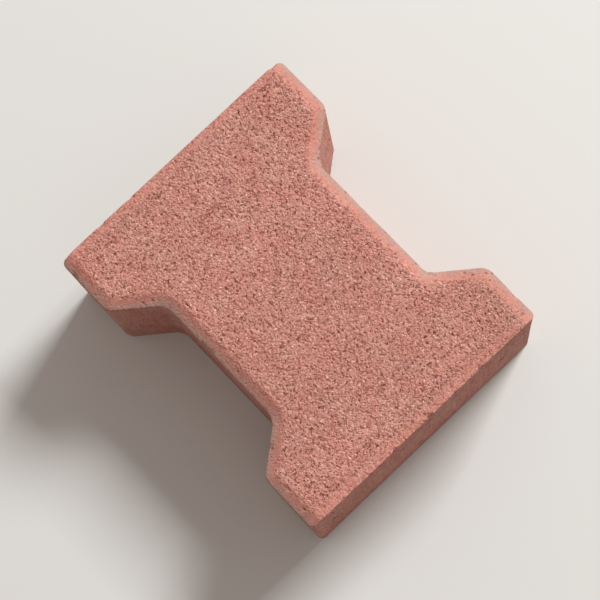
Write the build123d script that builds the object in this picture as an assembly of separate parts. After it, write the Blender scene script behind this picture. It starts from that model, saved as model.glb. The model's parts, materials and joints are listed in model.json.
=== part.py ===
from build123d import *

import os

# A concrete paving stone of the waisted, interlocking kind, pressed in one piece.
# X runs along a course of stones, Y across it and Z up, in millimetres.
# The origin is the middle of the bottom face.

# Overall size of one stone
STONE_LENGTH = 197.0  # from end face to end face
STONE_WIDTH = 162.0  # across the two heads
THICKNESS = 80.0  # from the bottom to the wearing face

# The sides step in from the heads to the waist, and interlock across a joint
JOINT = 3.0  # width of the joint that the laying grid leaves round the stone
WAIST_STEP = 25.0  # how far the waist lies inside the heads, on each side
STEP_RUN = 20.0  # length of the slanted step along X

# Rounded upright corners
END_CORNER_RADIUS = 4.0  # where an end face meets the side of a head
FACE_CORNER_RADIUS = 0.5  # corner of the wearing face, at the top of a step

# The bevel runs along the two waisted sides only, and out through the end faces
BEVEL_WIDTH = 7.0
BEVEL_DEPTH = 3.2

# The laying grid shifts by half a pitch from course to course, so the steps lie a
# quarter of the pitch from the middle of the stone. The stone stays half the
# joint behind that line in X, as it does at its end faces.
pitch = STONE_LENGTH + JOINT
step_middle_x = pitch / 4 + JOINT / 2
step_foot_x = step_middle_x - STEP_RUN / 2
step_head_x = step_middle_x + STEP_RUN / 2
end_x = STONE_LENGTH / 2
head_y = STONE_WIDTH / 2
waist_y = head_y - WAIST_STEP

# The bevel keeps its width round the corners of a step, and the joint nearly does
head_corner_radius = FACE_CORNER_RADIUS + BEVEL_WIDTH
waist_corner_radius = head_corner_radius + JOINT


def waisted_outline():
    """The outline of the stone with sharp corners, as one face."""
    quarter = [(end_x, head_y), (step_head_x, head_y), (step_foot_x, waist_y)]
    far_side = [(-x, y) for x, y in reversed(quarter)]
    upper_half = quarter + far_side
    lower_half = [(x, -y) for x, y in reversed(upper_half)]
    return make_face(Polyline(*upper_half, *lower_half, close=True))


def upright_edges(solid, x, y):
    """The four upright edges of a solid at plus or minus x and plus or minus y."""
    uprights = solid.edges().filter_by(Axis.Z)
    corners = [(side_x, side_y) for side_x in (-x, x) for side_y in (-y, y)]
    return [uprights.sort_by_distance((*corner, THICKNESS / 2))[0] for corner in corners]


def bevelled_along_sides(solid):
    """The solid with the bevel along all its top edges but the two end ones."""
    wearing_face = solid.faces().sort_by(Axis.Z)[-1]
    side_edges = wearing_face.edges().sort_by(Axis.X)[1:-1]
    return chamfer(side_edges, BEVEL_WIDTH, BEVEL_DEPTH, reference=wearing_face)


def paving_stone():
    """The pressed outline with its steps rounded, its sides bevelled, its ends rounded."""
    block = extrude(waisted_outline(), THICKNESS)
    block = fillet(upright_edges(block, step_head_x, head_y), head_corner_radius)
    block = fillet(upright_edges(block, step_foot_x, waist_y), waist_corner_radius)
    block = bevelled_along_sides(block)
    return fillet(upright_edges(block, end_x, head_y), END_CORNER_RADIUS)


stone = paving_stone()
os.makedirs("parts", exist_ok=True)
export_step(stone, "parts/paving_stone.step")
print("stone", stone.bounding_box().size, "volume", round(stone.volume), "valid", stone.is_valid)
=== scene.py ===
# %% [markdown]
# This lesson builds one red concrete paving stone of the waisted, interlocking kind. The real one is
# pressed in one piece, so it is one mesh here, with one material. Its measured solid could be shown
# as it is, but it has neither wear nor grain. So it stays a fixed frame, and the stone is modelled
# inside it as by hand, worn and pitted with modifiers, and finished with a concrete made of nodes.

# %% Load the measured stone
import json
import math

import bmesh
import bpy
import numpy as np
from mathutils import Color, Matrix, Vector


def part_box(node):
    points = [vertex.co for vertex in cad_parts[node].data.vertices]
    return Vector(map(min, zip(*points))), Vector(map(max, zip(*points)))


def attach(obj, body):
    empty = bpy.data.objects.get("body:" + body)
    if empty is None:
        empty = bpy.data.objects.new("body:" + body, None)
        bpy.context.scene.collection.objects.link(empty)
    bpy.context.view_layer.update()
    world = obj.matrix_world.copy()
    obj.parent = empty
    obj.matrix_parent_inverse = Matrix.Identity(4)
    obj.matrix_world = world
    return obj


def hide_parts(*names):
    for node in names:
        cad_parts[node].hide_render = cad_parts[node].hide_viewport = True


MM = 0.001

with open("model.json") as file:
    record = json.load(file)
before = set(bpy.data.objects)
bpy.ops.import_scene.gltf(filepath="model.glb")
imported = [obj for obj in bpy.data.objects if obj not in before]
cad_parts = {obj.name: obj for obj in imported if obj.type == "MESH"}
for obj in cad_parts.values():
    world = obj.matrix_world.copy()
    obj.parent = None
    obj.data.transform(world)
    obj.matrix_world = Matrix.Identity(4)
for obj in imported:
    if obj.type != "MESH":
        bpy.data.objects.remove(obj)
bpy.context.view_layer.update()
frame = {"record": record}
low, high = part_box("paving_stone")


def in_mm(lengths):
    """Lengths in metres as rounded millimetres, to print."""
    return [round(float(length) / MM, 2) for length in lengths]


print("measured stone, mm:", in_mm(high - low))

# %% [markdown]
# A real stone of this kind is made to fit a laying grid with a pitch of 200 mm. All its sizes could
# be typed in again here, but two copies of a size soon drift apart. So the length, width and
# thickness are read from the frame, and the depth of the waist from the flat face that the record
# names there. Only what the frame doesn't say is repeated, as the measured solid has it. The steps
# lie a quarter of the pitch from the middle of the stone, and half a joint behind that line.

# %% Sizes in metres
end_x = high.x
head_y = high.y
thickness = high.z
mounts = {mount["name"]: mount for mount in frame["record"]["mounts"]}
waist_y = mounts["waist_face_plus_y"]["pos_m"][1]

JOINT = 3 * MM  # what the laying grid leaves round the stone
STEP_RUN = 20 * MM  # length of a slanted step along X
BEVEL_WIDTH = 7 * MM
BEVEL_DEPTH = 3.2 * MM
FACE_CORNER_RADIUS = 0.5 * MM  # of the wearing face, at the top of a step
END_CORNER_RADIUS = 4 * MM  # where an end face meets the side of a head

pitch = 2 * end_x + JOINT
step_middle_x = pitch / 4 + JOINT / 2
step_foot_x = step_middle_x - STEP_RUN / 2
step_head_x = step_middle_x + STEP_RUN / 2
step_angle = math.atan2(head_y - waist_y, STEP_RUN)
head_corner_radius = FACE_CORNER_RADIUS + BEVEL_WIDTH
waist_corner_radius = head_corner_radius + JOINT
bevel_foot_z = thickness - BEVEL_DEPTH
print("step along x, mm:", in_mm([step_foot_x, step_head_x]), "and y, mm:", in_mm([waist_y, head_y]))

# %% [markdown]
# By hand one clicks on the corners, edges or faces that the next tool is meant for. A script could
# name them by their number in the mesh, but the numbers change with every cut. Their place doesn't,
# so this helper selects what passes a test on its middle, and says how much it selected.


# %% A helper that picks by place
def middle_of(element):
    """The middle of a corner, an edge or a face of a mesh."""
    if isinstance(element, bmesh.types.BMVert):
        return element.co
    if isinstance(element, bmesh.types.BMEdge):
        return (element.verts[0].co + element.verts[1].co) / 2
    return element.calc_center_median()


def pick(kind, test):
    """Selects the VERT, EDGE or FACE elements whose middle and element pass the test."""
    bpy.ops.mesh.select_mode(type=kind)
    bpy.ops.mesh.select_all(action="DESELECT")
    edited = bmesh.from_edit_mesh(bpy.context.edit_object.data)
    elements = {"VERT": edited.verts, "EDGE": edited.edges, "FACE": edited.faces}[kind]
    for element in elements:
        element.select_set(bool(test(middle_of(element), element)))
    edited.select_flush_mode()
    bmesh.update_edit_mesh(bpy.context.edit_object.data)
    print("picked", sum(element.select for element in elements), "of kind", kind)


NEAR = 0.01 * MM


def near(a, b):
    """True where two lengths are the same but for rounding."""
    return abs(a - b) < NEAR


# %% [markdown]
# The real stone is pressed from stiff concrete in a steel mould, so its sides are straight and
# upright. Its outline could be drawn as a curve and given height, or a cube could be cut to shape.
# The cube is chosen, because each size of the stone is then one cut or one pull. It starts a little
# too long, so that the bevel can run out through the end faces later, as on the real stone.

# %% A cube, a little too long
OVERLENGTH = 20 * MM

bpy.ops.object.select_all(action="DESELECT")
bpy.ops.mesh.primitive_cube_add(
    size=1,
    location=(0, 0, bevel_foot_z / 2),
    scale=(2 * (end_x + OVERLENGTH), 2 * head_y, bevel_foot_z),
)
bpy.ops.object.transform_apply(location=True, rotation=True, scale=True)
stone = bpy.context.object
stone.name = "paving_stone_body"
stone.data.name = "paving_stone_body"
print("cube, mm:", in_mm(stone.dimensions))

# %% Cut the steps, draw in the waist, and clear the cuts from the top and bottom
bpy.ops.object.mode_set(mode="EDIT")
for cut_x in (-step_head_x, -step_foot_x, step_foot_x, step_head_x):
    bpy.ops.mesh.select_all(action="SELECT")
    bpy.ops.mesh.bisect(plane_co=(cut_x, 0, 0), plane_no=(1, 0, 0))

pick("VERT", lambda place, vert: near(abs(place.x), step_foot_x))
bpy.ops.transform.resize(value=(1, waist_y / head_y, 1), center_override=(0, 0, 0))

pick("EDGE", lambda place, edge: near(place.y, 0) and abs(place.x) < end_x)
bpy.ops.mesh.dissolve_edges(use_verts=False)

# %% [markdown]
# A mould wall has no sharp corners, so the real steps turn in arcs. Subdivision would round them, but
# it would also soften what stays straight. A bevel on the upright edges alone gives a true arc. Its
# offset is the distance from the corner to where a circle of the wanted radius touches.


# %% Round the eight corners of the steps
def round_uprights(x, y, radius, turn, segments):
    """Rounds the upright edges at plus or minus x and plus or minus y, which turn by that angle."""

    def is_upright(place, edge):
        is_there = near(abs(place.x), x) and near(abs(place.y), y)
        return is_there and near(edge.verts[0].co.x, edge.verts[1].co.x)

    pick("EDGE", is_upright)
    bpy.ops.mesh.bevel(
        offset_type="OFFSET",
        offset=radius * math.tan(turn / 2),
        segments=segments,
        profile=0.5,
        affect="EDGES",
    )


STEP_SEGMENTS = 8
round_uprights(step_head_x, head_y, head_corner_radius, step_angle, STEP_SEGMENTS)
round_uprights(step_foot_x, waist_y, waist_corner_radius, step_angle, STEP_SEGMENTS)

# %% [markdown]
# The stamp that closes the mould shapes a shallow bevel along both stepped sides. The bevel tool
# would make one too, but an inset of the top face that is lifted at once has the same width all
# along, also round the corners. The ends are then cut off straight and closed, and the slope runs
# out through them.

# %% Inset and lift the wearing face
MOSTLY_UP = 0.9

pick("FACE", lambda place, face: face.normal.z > MOSTLY_UP)
bpy.ops.mesh.inset(thickness=BEVEL_WIDTH, depth=BEVEL_DEPTH, use_even_offset=True)

# %% Cut the ends off and round their corners
END_SEGMENTS = 6

for end in (-1, 1):
    bpy.ops.mesh.select_all(action="SELECT")
    bpy.ops.mesh.bisect(
        plane_co=(end * end_x, 0, 0), plane_no=(end, 0, 0), use_fill=True, clear_outer=True
    )
round_uprights(end_x, head_y, END_CORNER_RADIUS, math.pi / 2, END_SEGMENTS)

# %% Leave edit mode with a clean block
bpy.ops.mesh.select_all(action="SELECT")
bpy.ops.mesh.remove_doubles(threshold=NEAR)
bpy.ops.mesh.normals_make_consistent(inside=False)
bpy.ops.object.mode_set(mode="OBJECT")
print("block:", len(stone.data.vertices), "corners,", len(stone.data.polygons), "faces")

# %% [markdown]
# Real wear and voids are small, and the mesh needs small faces to show them, of one size on the
# flats as well as at the edges. Subdividing would keep the long thin faces that the cuts left. A
# voxel remesh makes them even in one step, and it blunts the sharp edges a little, as concrete is
# blunt.


# %% Remesh to even faces
def apply(modifier):
    """Makes the result of a modifier the stone's own mesh."""
    name = modifier.name
    bpy.ops.object.modifier_apply(modifier=name)
    print(name, "leaves", len(stone.data.polygons), "faces")


FINE = 0.7 * MM

even = stone.modifiers.new("even_faces", "REMESH")
even.mode = "VOXEL"
even.voxel_size = FINE
apply(even)

# %% [markdown]
# On the real stone traffic rounds the crest of the bevel and the upper arrises, and the sides keep
# more voids than the stamped top. Such regions could be painted with a weight brush. A formula is
# exact and gives the same weights on every run. So each region is a vertex group, weighted by how
# far a point lies from the stepped sides, from the end faces and from the top. Where two stretches
# of a side meet, the smaller depth counts at an outward corner, and the larger at an inward one.


# %% How deep each point lies
def side_depths(x, y, unit=1):
    """Depths in that unit inside the side of a head, a waist and a step, for x and y without signs."""
    in_head = head_y / unit - y
    in_waist = waist_y / unit - y
    past_foot = x - step_foot_x / unit
    return in_head, in_waist, past_foot * math.sin(step_angle) + in_waist * math.cos(step_angle)


places = np.zeros(3 * len(stone.data.vertices))
stone.data.vertices.foreach_get("co", places)
x, y, z = places.reshape(-1, 3).T
in_head, in_waist, in_step = side_depths(np.abs(x), np.abs(y))
depth_from_side = np.minimum(in_head, np.maximum(in_waist, in_step))
depth_from_end = end_x - np.abs(x)
bevel_height = np.clip(depth_from_side / BEVEL_WIDTH, 0, 1) * BEVEL_DEPTH
depth_from_top = bevel_foot_z + bevel_height - z
print("deepest from a side and from an end, mm:", in_mm([depth_from_side.max(), depth_from_end.max()]))


# %% Regions from the depths
def fade(values, full, none):
    """Goes smoothly from 1 at full to 0 at none."""
    share = np.clip((values - none) / (full - none), 0, 1)
    return share * share * (3 - 2 * share)


on_top = fade(depth_from_top, full=0.4 * MM, none=1.2 * MM)
underneath = fade(z, full=0.4 * MM, none=1.2 * MM)
upright = np.clip(1 - on_top - underneath, 0, 1)
crest = on_top * fade(np.abs(depth_from_side - BEVEL_WIDTH), full=1 * MM, none=4 * MM)
at_rim = fade(np.minimum(depth_from_side, depth_from_end), full=0.5 * MM, none=3 * MM)
arris = at_rim * fade(depth_from_top, full=0.5 * MM, none=3 * MM)
print("share of the points on top:", round(float(on_top.mean()), 2))

# %% Regions as vertex groups
WEIGHT_LEVELS = 25


def weigh(name, weights):
    """Stores weights from 0 to 1 as a vertex group, in a few levels."""
    group = stone.vertex_groups.new(name=name)
    levels = np.rint(weights * WEIGHT_LEVELS).astype(int)
    for level in range(1, WEIGHT_LEVELS + 1):
        chosen = np.flatnonzero(levels == level)
        group.add(chosen.tolist(), level / WEIGHT_LEVELS, "REPLACE")
    print(name, "covers", int((levels > 0).sum()), "points")


weigh("crest", crest)
weigh("arris", arris)
weigh("wearing_face", on_top)
weigh("sides", upright)
weigh("underside", underneath)

# %% [markdown]
# Traffic rounds an edge by rubbing off what stands out most. A Bevel modifier would give all edges
# one neat width. A Smooth modifier that sees only one vertex group rounds an edge as rubbing does:
# the more often it repeats, the rounder the edge. The crest of the bevel was already soft when the
# stone was pressed, so it gets more repeats than the arrises.

# %% Round the crest and the arrises
RUB = 0.5


def wear(group, repeats):
    """Rounds the edges in a vertex group."""
    rub = stone.modifiers.new("wear_" + group, "SMOOTH")
    rub.factor = RUB
    rub.iterations = repeats
    rub.vertex_group = group
    apply(rub)


wear("crest", repeats=12)
wear("arris", repeats=3)

# %% [markdown]
# Pressed concrete is never quite flat. That unevenness could be sculpted, or left to a bump in the
# material, but no hand does the same twice, and a bump leaves the outline straight. A Displace
# modifier with a noise texture has neither fault. It only pushes inwards here, which keeps the stone
# inside its measured box.


# %% Noise to push with
def set_stops(colour_ramp, stops):
    """Gives a colour ramp its stops, as pairs of a place and a grey level."""
    while len(colour_ramp.elements) > 1:
        colour_ramp.elements.remove(colour_ramp.elements[-1])
    for number, (place, level) in enumerate(stops):
        stop = colour_ramp.elements[0] if number == 0 else colour_ramp.elements.new(place)
        stop.position = place
        stop.color = (level, level, level, 1)


def clouds(size, octaves, stops=None):
    """Soft uneven noise with lumps of that size."""
    texture = bpy.data.textures.new("clouds", "CLOUDS")
    texture.noise_scale = size
    texture.noise_depth = octaves
    if stops:
        texture.use_color_ramp = True
        set_stops(texture.color_ramp, stops)
    return texture


# %% Swells of the whole stone
def push_in(name, texture, depth, group="", along=None):
    """Pushes the surface in by up to depth where the texture is dark, then removes the texture.

    With a group, only that region moves. With an object along, the texture is stretched as it is.
    """
    push = stone.modifiers.new(name, "DISPLACE")
    push.texture = texture
    push.texture_coords = "OBJECT" if along else "LOCAL"
    push.texture_coords_object = along
    push.mid_level = 1
    push.strength = depth
    push.vertex_group = group
    apply(push)
    bpy.data.textures.remove(texture)


push_in("hand_size_swell", clouds(size=30 * MM, octaves=1), depth=0.35 * MM)
push_in("finger_size_swell", clouds(size=6 * MM, octaves=2), depth=0.16 * MM)

# %% [markdown]
# Where the stiff mix didn't close, the real stone has ragged voids, few on the stamped top and more
# on the sides. Cutting holes one by one would make them all alike. The lowest few percent of a noise
# are ragged and all different: a ramp turns them dark, with a steep rim, and leaves the rest white.
# Chips on the arrises come from the highest part of the noise in the same way.


# %% Voids, pits and chips
def voids(size, bottom, rim):
    """White, with ragged dark pits where the noise is under the rim level."""
    return clouds(size, octaves=3, stops=[(0, 0), (bottom, 0), (rim, 1)])


CHIPPED = [(0, 1), (0.66, 1), (0.8, 0)]

push_in("face_pits", voids(size=4 * MM, bottom=0.17, rim=0.22), depth=0.9 * MM, group="wearing_face")
push_in("side_voids", voids(size=9 * MM, bottom=0.23, rim=0.29), depth=1.6 * MM, group="sides")
push_in("side_pits", voids(size=3.5 * MM, bottom=0.22, rim=0.31), depth=0.9 * MM, group="sides")
push_in("underside_voids", voids(size=8 * MM, bottom=0.23, rim=0.3), depth=1.2 * MM, group="underside")
push_in("chips", clouds(size=9 * MM, octaves=1, stops=CHIPPED), depth=0.9 * MM, group="arris")

# %% [markdown]
# When the mould is pulled off the fresh stone, grains drag fine upright marks into its sides. They
# could be cut one by one, but there are hundreds. A noise that is stretched upright gives them all
# at once. The modifier reads its texture through an empty, and the empty is scaled along Z.

# %% Upright drag marks on the sides
STRETCH = 14

bpy.ops.object.select_all(action="DESELECT")
bpy.ops.object.empty_add(location=(0, 0, 0))
stretcher = bpy.context.object
stretcher.scale = (1, 1, STRETCH)
bpy.context.view_layer.update()
stretcher.select_set(False)
bpy.context.view_layer.objects.active = stone
stone.select_set(True)
marks = clouds(size=2.2 * MM, octaves=2)
push_in("drag_marks", marks, depth=0.35 * MM, group="sides", along=stretcher)
bpy.data.objects.remove(stretcher)

# %% [markdown]
# The fine mesh shows all the wear of the real stone, but it is larger than a shared part should be.
# A coarser remesh would lose the voids with the faces. Decimate merges faces where the surface is
# nearly flat, and keeps them where there are voids, chips and rounded edges.

# %% Thin the mesh out
MOST_TRIANGLES = 190000


def count_triangles(mesh):
    """Triangles that the mesh comes to once its larger faces are split."""
    return sum(len(face.vertices) - 2 for face in mesh.polygons)


triangles = count_triangles(stone.data)
thin = stone.modifiers.new("fewer_faces", "DECIMATE")
thin.ratio = min(1, MOST_TRIANGLES / triangles)
apply(thin)
stone.vertex_groups.clear()
bpy.ops.object.shade_smooth()
print("triangles:", triangles, "before,", count_triangles(stone.data), "after")

# %% [markdown]
# Real concrete needs many patterns laid over each other, and each pattern is a few nodes. They could
# be wired one by one, but a long net is hard to read. Here the output of a node is wrapped in a small
# class, so that Python's own signs make the Math nodes and a mask reads like a formula.


# %% A socket that takes part in arithmetic
class Value:
    """An output socket that Python's own signs work on."""

    def __init__(self, finish, socket):
        self.finish = finish
        self.socket = socket

    def __add__(self, other):
        return self.finish.maths("ADD", self, other)

    __radd__ = __add__

    def __mul__(self, other):
        return self.finish.maths("MULTIPLY", self, other)

    __rmul__ = __mul__

    def __sub__(self, other):
        return self.finish.maths("SUBTRACT", self, other)

    def __rsub__(self, other):
        return self.finish.maths("SUBTRACT", other, self)


# %% A material that takes nodes
class Finish:
    """One material, and the one way in which it gets its nodes."""

    def __init__(self, name):
        self.material = bpy.data.materials.new(name)
        self.material.use_nodes = True
        self.tree = self.material.node_tree
        self.tree.nodes.clear()

    def node(self, kind, settings=None, inputs=None, output=0):
        """Adds a node, sets it, fills its inputs with numbers or links, and gives one output."""
        made = self.tree.nodes.new("ShaderNode" + kind)
        for name, setting in (settings or {}).items():
            if name == "stops":
                set_stops(made.color_ramp, setting)
            else:
                setattr(made, name, setting)
        for name, given in (inputs or {}).items():
            if isinstance(given, Value):
                self.tree.links.new(given.socket, made.inputs[name])
            else:
                made.inputs[name].default_value = given
        return Value(self, made.outputs[output]) if made.outputs else made

    def maths(self, operation, *given):
        """A Math node."""
        return self.node("Math", {"operation": operation}, dict(enumerate(given)))

    def say(self, what):
        """Prints how many nodes the material has, once something is made."""
        print(self.material.name, "has", len(self.tree.nodes), "nodes with", what)


# %% [markdown]
# The real stone is coloured all through with red iron oxide, so one material covers it. What changes
# is the skin: traffic has bared the sand of the wearing face, and the bevel and the sides keep more
# of their smooth skin of cement. These regions could be painted on, but that needs a picture. The
# place on the stone, in millimetres, and the same formula as for the weights above need none.


# %% Depths again, as sockets
def scaled(vector, factor):
    """A place in another unit, or a colour made lighter or darker."""
    return vector.finish.node("VectorMath", {"operation": "SCALE"}, {0: vector, "Scale": factor})


def part(vector, axis):
    """One of the X, Y and Z parts of a vector."""
    return vector.finish.node("SeparateXYZ", None, {0: vector}, output=axis)


concrete = Finish("red_concrete")
mm_place = scaled(concrete.node("TexCoord", output="Object"), 1 / MM)
across_x = concrete.maths("ABSOLUTE", part(mm_place, "X"))
across_y = concrete.maths("ABSOLUTE", part(mm_place, "Y"))
in_head, in_waist, in_step = side_depths(across_x, across_y, unit=MM)
from_side = concrete.maths("MINIMUM", in_head, concrete.maths("MAXIMUM", in_waist, in_step))
from_end = end_x / MM - across_x
concrete.say("the depths")


# %% Helpers for masks
def rise(value, none, full):
    """Goes smoothly from 0 to 1 as the value goes, up or down, from none to full."""
    inputs = {"Value": value, "From Min": none, "From Max": full}
    return value.finish.node("MapRange", {"interpolation_type": "SMOOTHSTEP"}, inputs)


def noise(place, size, octaves=2, roughness=0.5):
    """Soft noise around 0.5, with lumps of that size."""
    inputs = {"Vector": place, "Scale": 1 / size, "Detail": octaves, "Roughness": roughness}
    return place.finish.node("TexNoise", None, inputs)


def swing(pattern, reach):
    """A pattern around 0.5 as a swing around 0."""
    return reach * (pattern - 0.5)


# %% Masks for the regions
STEEP = 0.35  # what faces up less than this is not top at all
LEVEL = 0.6  # what faces up more than this is all top
BEVEL_MM = BEVEL_WIDTH / MM
UNEVEN_MM = 2  # how far noise shifts the edge of a region
BEVEL_SKIN = 0.7
SIDE_SKIN = 0.5
END_SKIN = 0.4

facing_up = part(concrete.node("TexCoord", output="Normal"), "Z")
top = rise(facing_up, none=STEEP, full=LEVEL)
on_sides = 1 - top - rise(facing_up, none=-STEEP, full=-LEVEL)

swirl = noise(mm_place, size=5, octaves=3)
uneven = swing(swirl, UNEVEN_MM)
on_bevel = top * rise(from_side, none=BEVEL_MM + 1, full=BEVEL_MM - 1.5)
skinned = top * rise(from_side + uneven, none=BEVEL_MM + 2, full=BEVEL_MM - 3)
end_band = top * rise(from_end + uneven, none=7.5, full=4)
bared = (1 - BEVEL_SKIN * skinned - SIDE_SKIN * (1 - top)) * (1 - END_SKIN * end_band)
concrete.say("the region masks")

# %% [markdown]
# The real colours are easiest to name as a colour chart does, by numbers from 0 to 255, but nodes
# work with linear values. The numbers could be converted in advance, but then nobody could read
# them any more, so a small helper converts them here.


# %% A helper for paints
def paint(red, green, blue):
    """A colour from 0 to 255 as a chart gives it, as the linear values that nodes take."""
    return (*Color((red / 255, green / 255, blue / 255)).from_srgb_to_scene_linear(), 1)


print("a middle grey of 128 becomes", round(paint(128, 128, 128)[0], 3))

# %% [markdown]
# The wearing face gets its speckle from sand. The tops of the grains are a light brick red, and the
# hollows between them are painted a deep red as painted shade, for there light passes from red to red
# before it leaves. A few grains are bare and pale. A photograph could be laid over the stone, but it
# repeats and brings its own light with it. Noise in the stone's own space does neither: a Voronoi
# pattern gives each grain its own random number, a ramp turns that into painted light and shade, and
# more noise adds hollows and pits, which are painted darker as shade.


# %% Helpers for grains
def grains(place, size, output="Distance", feature="F1"):
    """Grains of that size: how far a point is from their middle, or another output of the pattern."""
    inputs = {"Vector": place, "Scale": 1 / size}
    return place.finish.node("TexVoronoi", {"feature": feature}, inputs, output)


def random_number(place, size):
    """A random number from 0 to 1 for each grain of that size."""
    return place.finish.node("SeparateColor", None, {0: grains(place, size, "Color")})


def ramp(value, stops):
    """A grey level that follows the value through the stops."""
    return value.finish.node("ValToRGB", {"stops": stops}, {"Fac": value})


# %% Painted light on the grains
COARSE_SAND = 1.4  # size of the larger grains, in millimetres
FINE_SAND = 0.8  # size of the smaller ones
COARSE_STOPS = [(0, 0.5), (0.15, 0.78), (0.7, 0.88), (1, 1)]
FINE_STOPS = [(0, 0.35), (0.15, 0.75), (0.7, 0.9), (1, 1)]

fine_number = random_number(mm_place, FINE_SAND)
fine_light = ramp(fine_number, FINE_STOPS)
coarse_light = ramp(random_number(mm_place, COARSE_SAND), COARSE_STOPS)
concrete.say("the light on the grains")

# %% Hollows and pits
roughcast = noise(mm_place, size=1.1, octaves=2, roughness=0.7)
hollow = rise(roughcast, none=0.5, full=0.36)
grit = noise(mm_place, size=1.6, octaves=2, roughness=0.6)
mottle = noise(mm_place, size=5, octaves=2, roughness=0.8)
pit = rise(grit + swing(mottle, reach=0.12), none=0.42, full=0.33)
concrete.say("the hollows and pits")

# %% Colour of the sand, with painted light and shade
FIRST_COLOUR = 6  # a Mix node has inputs for numbers, vectors and colours, and these are for colours
SECOND_COLOUR = 7
MIXED_COLOUR = 2  # the output for a colour


def blend(share, first, second):
    """A colour that goes from the first to the second as share goes from 0 to 1."""
    inputs = {0: share, FIRST_COLOUR: first, SECOND_COLOUR: second}
    return share.finish.node("Mix", {"data_type": "RGBA"}, inputs, output=MIXED_COLOUR)


WARM_SAND = paint(216, 152, 137)
TAN_SAND = paint(218, 161, 146)
# Painted shade: the deep red given to dark grains, hollows, pits, pores and gaps between grains.
PAINTED_SHADE_RED = paint(112, 42, 32)
PALE_GRAIN = paint(232, 192, 178)
HOLLOW_SHADE = 0.15
PIT_SHADE = 0.8
PALE_SHARE = 0.5

patches = noise(mm_place, size=16, octaves=3)
tan_share = rise(patches, none=0.35, full=0.65)
sand = blend(tan_share, WARM_SAND, TAN_SAND)
# Painted light and shade: each grain painted lighter or darker at random, and painted shade in the
# hollows and pits.
light = coarse_light * fine_light * (1 - HOLLOW_SHADE * hollow) * (1 - PIT_SHADE * pit)
sand = blend(1 - light, sand, PAINTED_SHADE_RED)
sand = blend(PALE_SHARE * rise(fine_number, none=0.95, full=0.97), sand, PALE_GRAIN)
concrete.say("the sand")

# %% [markdown]
# The skin of cement shows no grains, only a tone that drifts a little. It could be a second material
# on its own faces, but the real skin wears through unevenly, so it is blended with the sand by a
# mask. A slow change of tone, every few centimetres, lies over both.

# %% Skin over sand, and the slow change of tone
WARM_SKIN = paint(184, 119, 106)
TAN_SKIN = paint(184, 122, 109)

skin = blend(tan_share, WARM_SKIN, TAN_SKIN)
skin = scaled(skin, 1 + swing(roughcast, reach=0.35) + swing(swirl, reach=0.25))
body = blend(bared, skin, sand)
cloudy = noise(mm_place, size=45, octaves=2)
body = scaled(body, 1 + swing(cloudy, reach=0.3))
concrete.say("the skin")

# %% [markdown]
# Fine pale dust lies on the lower half of the real bevel, most of it in the hollows. The end faces
# have no bevel, and a narrow band along them stays lighter, with a darker one inside it. Painting by
# hand would need a picture here too, so all three are bands of the depths above. Noise makes the
# edges of the dust and of the lighter band uneven, and the darker one only fades.

# %% Dust and end bands
DUST = paint(156, 141, 131)
DUST_NONE = 5.3  # how far in from the side the dust ends, in millimetres
DUST_FULL = 1  # and where it is full
DUST_UNEVEN = 3
DUST_SHARE = 0.32
DUST_IN_HOLLOWS = 0.3
DUST_IN_PATCHES = 0.45
PATCH_LEVEL = 0.3
END_LIGHTER = 0.09
INSIDE_DARKER = 0.06

inside_band = top * rise(from_end, none=13, full=7)
body = scaled(body, 1 + END_LIGHTER * end_band - INSIDE_DARKER * inside_band)
dust_edge = from_side + swing(swirl, DUST_UNEVEN) + swing(roughcast, DUST_UNEVEN)
dust_place = on_bevel * rise(dust_edge, none=DUST_NONE, full=DUST_FULL)
dust_share = DUST_SHARE + DUST_IN_HOLLOWS * hollow + DUST_IN_PATCHES * (patches - PATCH_LEVEL)
body = blend(dust_place * dust_share, body, DUST)
concrete.say("the dust")

# %% [markdown]
# The upright sides carry streaks from the mould, and on them and the underside a thin haze of cement
# has dried. A brush could draw the streaks, but the mesh already has drag marks, and the same trick
# keeps both alike: the noise is stretched upright.

# %% Streaks and haze
UPRIGHT = (1, 1, 0.07)
SIDE_DARKER = 0.06
CEMENT_HAZE = paint(176, 138, 124)
HAZE_SHARE = 0.6

upright_place = concrete.node("VectorMath", {"operation": "MULTIPLY"}, {0: mm_place, 1: UPRIGHT})
streak = noise(upright_place, size=2.5, octaves=3)
body = scaled(body, 1 + on_sides * (swing(streak, reach=0.5) - SIDE_DARKER))
haze_clouds = noise(mm_place, size=24, octaves=4, roughness=0.6)
haze = (1 - top) * rise(haze_clouds, none=0.45, full=0.7)
body = blend(HAZE_SHARE * haze, body, CEMENT_HAZE)
concrete.say("the haze")

# %% [markdown]
# On the real stone the grains stand out by a few tenths of a millimetre, with pores and short gaps
# between them. Modelling each grain would take millions of faces. A Bump node takes their height in
# millimetres and bends the light as if they were there. Round pores would look drilled, so their
# place is first shifted by a noise, which makes them ragged.

# %% Pores, and gaps between grains
SHIFT_MM = (2, 2, 2)
SHIFT_SIZE = 1.5
PORE_APART = 6.5

shift = concrete.node("TexNoise", None, {"Vector": mm_place, "Scale": 1 / SHIFT_SIZE}, "Color")
shift_inputs = {0: shift, 1: SHIFT_MM, 2: mm_place}
ragged_place = concrete.node("VectorMath", {"operation": "MULTIPLY_ADD"}, shift_inputs)
pore = rise(grains(ragged_place, PORE_APART), none=0.16, full=0.06)
grain_edge = grains(ragged_place, COARSE_SAND, feature="DISTANCE_TO_EDGE")
gap_place = rise(noise(mm_place, size=2.6, octaves=1), none=0.66, full=0.74)
gap = rise(grain_edge, none=0.14, full=0.04) * gap_place
opening = concrete.maths("MAXIMUM", pore, bared * gap)
concrete.say("the openings")

# %% Heights in millimetres
COARSE_BULGE = 0.5
FINE_BULGE = 0.35
ROUGHCAST_HEIGHT = 0.7
PIT_DEPTH = 0.3
OPENING_DEPTH = 0.4
STREAK_HEIGHT = 0.5
SIDE_ROUGHER = 0.4  # added on the sides and the underside, as a share of the wearing face's relief

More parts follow.
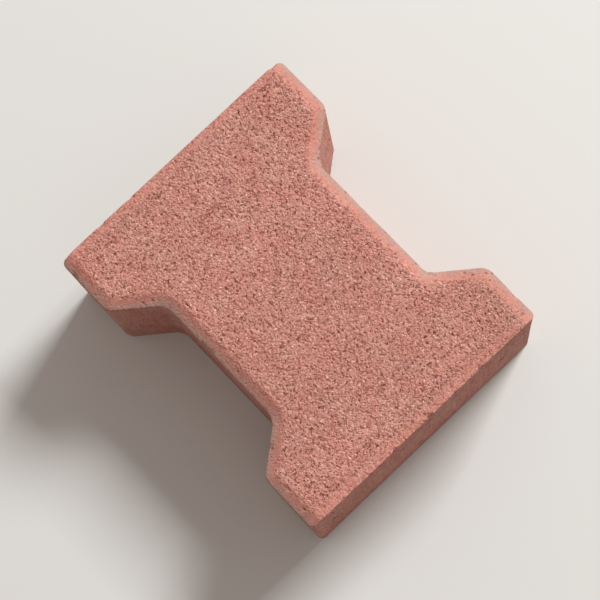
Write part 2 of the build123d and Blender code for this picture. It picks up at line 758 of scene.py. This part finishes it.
coarse_far = grains(mm_place, COARSE_SAND)
fine_far = grains(mm_place, FINE_SAND)
sand_height = -COARSE_BULGE * coarse_far * coarse_far - FINE_BULGE * fine_far * fine_far
rough_share = bared + SIDE_ROUGHER * (1 - top)
height = rough_share * (sand_height + ROUGHCAST_HEIGHT * roughcast - PIT_DEPTH * pit)
height = height - OPENING_DEPTH * opening + STREAK_HEIGHT * on_sides * streak
concrete.say("the height")

# %% The finished material
OPENING_SHADE = 0.55
SKIN_ROUGHNESS = 0.8
BARED_ROUGHER = 0.15

# Painted shade: pores and gaps between grains are painted the deep shade red.
body = blend(OPENING_SHADE * opening, body, PAINTED_SHADE_RED)
bump = concrete.node("Bump", None, {"Height": height, "Distance": 1 * MM, "Strength": 1})
surface_inputs = {
    "Base Color": body,
    "Roughness": SKIN_ROUGHNESS + BARED_ROUGHER * bared,
    "Specular IOR Level": 0.25,
    "Normal": bump,
}
surface = concrete.node("BsdfPrincipled", None, surface_inputs)
concrete.node("OutputMaterial", None, {"Surface": surface})
stone.data.materials.clear()
stone.data.materials.append(concrete.material)
concrete.say("the surface")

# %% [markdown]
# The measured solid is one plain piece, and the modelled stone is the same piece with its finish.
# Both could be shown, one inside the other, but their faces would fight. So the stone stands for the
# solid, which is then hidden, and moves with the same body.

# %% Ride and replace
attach(stone, "root")
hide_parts("paving_stone")
print(stone.name, "rides on the root and replaces the measured solid")

# %% [markdown]
# The real stone lies flat on its bottom face, and so does this one. It could be shown in empty space,
# but without a shadow it would seem to float. The floor is plain and pale, so that nothing draws the
# eye away, and far larger than the stone, so that no low view shows its edge.

# %% Floor
FLOOR_SIDE = 40.0
FLOOR_PAINT = paint(206, 205, 202)

bpy.ops.object.select_all(action="DESELECT")
bpy.ops.mesh.primitive_plane_add(size=FLOOR_SIDE, location=(0, 0, 0))
floor = bpy.context.object
floor.name = "floor"
floor_finish = Finish("pale_floor")
floor_inputs = {"Base Color": FLOOR_PAINT, "Roughness": 0.9}
floor_surface = floor_finish.node("BsdfPrincipled", None, floor_inputs)
floor_finish.node("OutputMaterial", None, {"Surface": floor_surface})
floor.data.materials.append(floor_finish.material)
print("floor side, m:", FLOOR_SIDE)

# %% [markdown]
# In the photograph the light slants across the stone, so one bevel is bright and the other dark. A
# sun lamp would do that with hard shadows. A large area lamp from the same side is softer, as studio
# light is, and an even, slightly warm world fills the shadows.

# %% Key light
KEY_TURN = math.radians(98)
KEY_HEIGHT = math.radians(40)
KEY_AWAY = 4.0
KEY_SIDE = 1.2
KEY_WATTS = 205
KEY_COLOUR = (0.97, 1.0, 1.0)

flat_share = math.cos(KEY_HEIGHT)
key_direction = Vector(
    (math.cos(KEY_TURN) * flat_share, math.sin(KEY_TURN) * flat_share, math.sin(KEY_HEIGHT))
)
bpy.ops.object.light_add(type="AREA", location=key_direction * KEY_AWAY)
key = bpy.context.object
key.name = "key_light"
key.rotation_euler = key_direction.to_track_quat("Z", "Y").to_euler()
key.data.size = KEY_SIDE
key.data.energy = KEY_WATTS
key.data.color = KEY_COLOUR
print("key light at, m:", [round(along, 2) for along in key.location])

# %% World
WORLD_COLOUR = (1.0, 0.89, 0.82, 1)
WORLD_STRENGTH = 0.44

world = bpy.data.worlds.new("soft_surround")
bpy.context.scene.world = world
world.use_nodes = True
background = world.node_tree.nodes["Background"]
background.inputs["Color"].default_value = WORLD_COLOUR
background.inputs["Strength"].default_value = WORLD_STRENGTH
print("world strength:", WORLD_STRENGTH)

# %% [markdown]
# The photograph looks down on the stone, almost from straight above and turned by about 45 degrees.
# A camera could be aimed with a Track To constraint, but that can't turn the picture as well. So its
# three axes are worked out from its place, its aim and the way that is up in the picture. The place
# over the middle of the wearing face is the photograph's, in metres, and a lens 2.25 times as long
# lets the stone fill the picture.

# %% Camera at the photograph's place
PHOTO_LENS = 51.8
CLOSER = 2.25
OVER_FACE = Vector((0.2024, -0.0849, 1.0))
PICTURE_UP_TURN = math.radians(136.7)
AIM_HEIGHT = 0.6 * thickness

aim = Vector((0, 0, AIM_HEIGHT))
camera_place = Vector((0, 0, thickness)) + OVER_FACE
back = (camera_place - aim).normalized()
up = Vector((math.cos(PICTURE_UP_TURN), math.sin(PICTURE_UP_TURN), 0))
right = up.cross(back).normalized()
up = back.cross(right)
bpy.ops.object.camera_add(location=camera_place)
camera = bpy.context.object
camera.name = "camera"
turn = camera.matrix_world.to_3x3()
turn.col[0] = right
turn.col[1] = up
turn.col[2] = back
camera.rotation_euler = turn.to_euler()
camera.data.lens = PHOTO_LENS * CLOSER
bpy.context.scene.camera = camera
bpy.context.scene.view_settings.view_transform = "Standard"
print("camera looks along", [round(along, 3) for along in -back])
